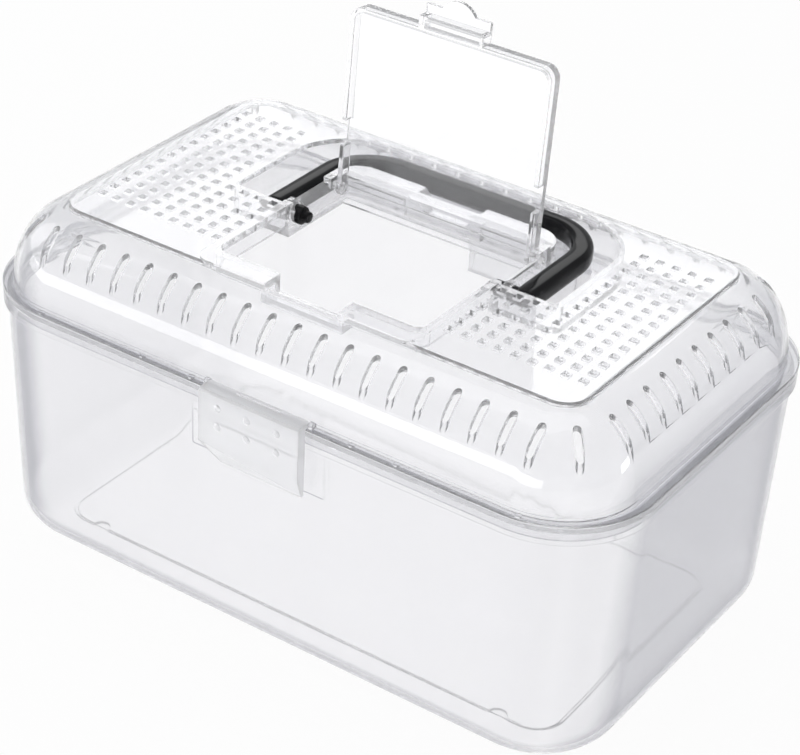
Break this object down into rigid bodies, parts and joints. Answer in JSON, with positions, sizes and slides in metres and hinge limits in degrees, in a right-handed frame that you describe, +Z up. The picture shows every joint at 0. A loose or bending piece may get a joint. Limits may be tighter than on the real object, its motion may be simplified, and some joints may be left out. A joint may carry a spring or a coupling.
{
  "type": "plastic pet keeper",
  "caption": "Small clear plastic animal keeper: open tub, domed vented lid with hinged feeding door, folding carry handle and side latches.",
  "frame": {"origin": "middle of the underside of the tub, on the surface it stands on", "axes": "+X along the length, +Y to the back, +Z up; the latch with the studs towards the viewer is at -Y, and the door hinge is behind the door opening at +Y"},
  "size_m": [0.2686, 0.1762, 0.2154],
  "materials": {
    "clear_body": "milky clear moulded plastic, smooth",
    "clear_lid": "clear moulded plastic, polished",
    "black": "glossy black moulded plastic",
    "frosted": "frosted translucent moulded plastic"
  },
  "bodies": {
    "tub": {"tub": "clear_body"},
    "lid": {"lid": "clear_lid"},
    "door": {"door": "clear_lid"},
    "handle": {"handle": "black"},
    "front_latch": {"front_latch": "frosted"},
    "rear_latch": {"rear_latch": "frosted"}
  },
  "joints": [
    {"name": "lid_lift", "type": "slide", "parent": "tub", "child": "lid", "axis": [0, 0, 1], "range_m": [0, 0.12]},
    {"name": "handle_swing", "type": "hinge", "parent": "lid", "child": "handle", "pos_m": [0, -0.0015, 0.13025], "axis": [1, 0, 0], "range_deg": [0, 90]},
    {"name": "door_swing", "type": "hinge", "parent": "lid", "child": "door", "pos_m": [0, 0.0217, 0.1328], "axis": [1, 0, 0], "range_deg": [0, 94]},
    {"name": "front_latch_swing", "type": "hinge", "parent": "lid", "child": "front_latch", "pos_m": [0, -0.0811, 0.10605], "axis": [-1, 0, 0], "range_deg": [0, 90]},
    {"name": "rear_latch_swing", "type": "hinge", "parent": "lid", "child": "rear_latch", "pos_m": [0, 0.0811, 0.10605], "axis": [1, 0, 0], "range_deg": [0, 90]}
  ],
  "couplings": [
    {"joint": "door_swing", "follows": "handle_swing", "ratio": 1.0444}
  ]
}
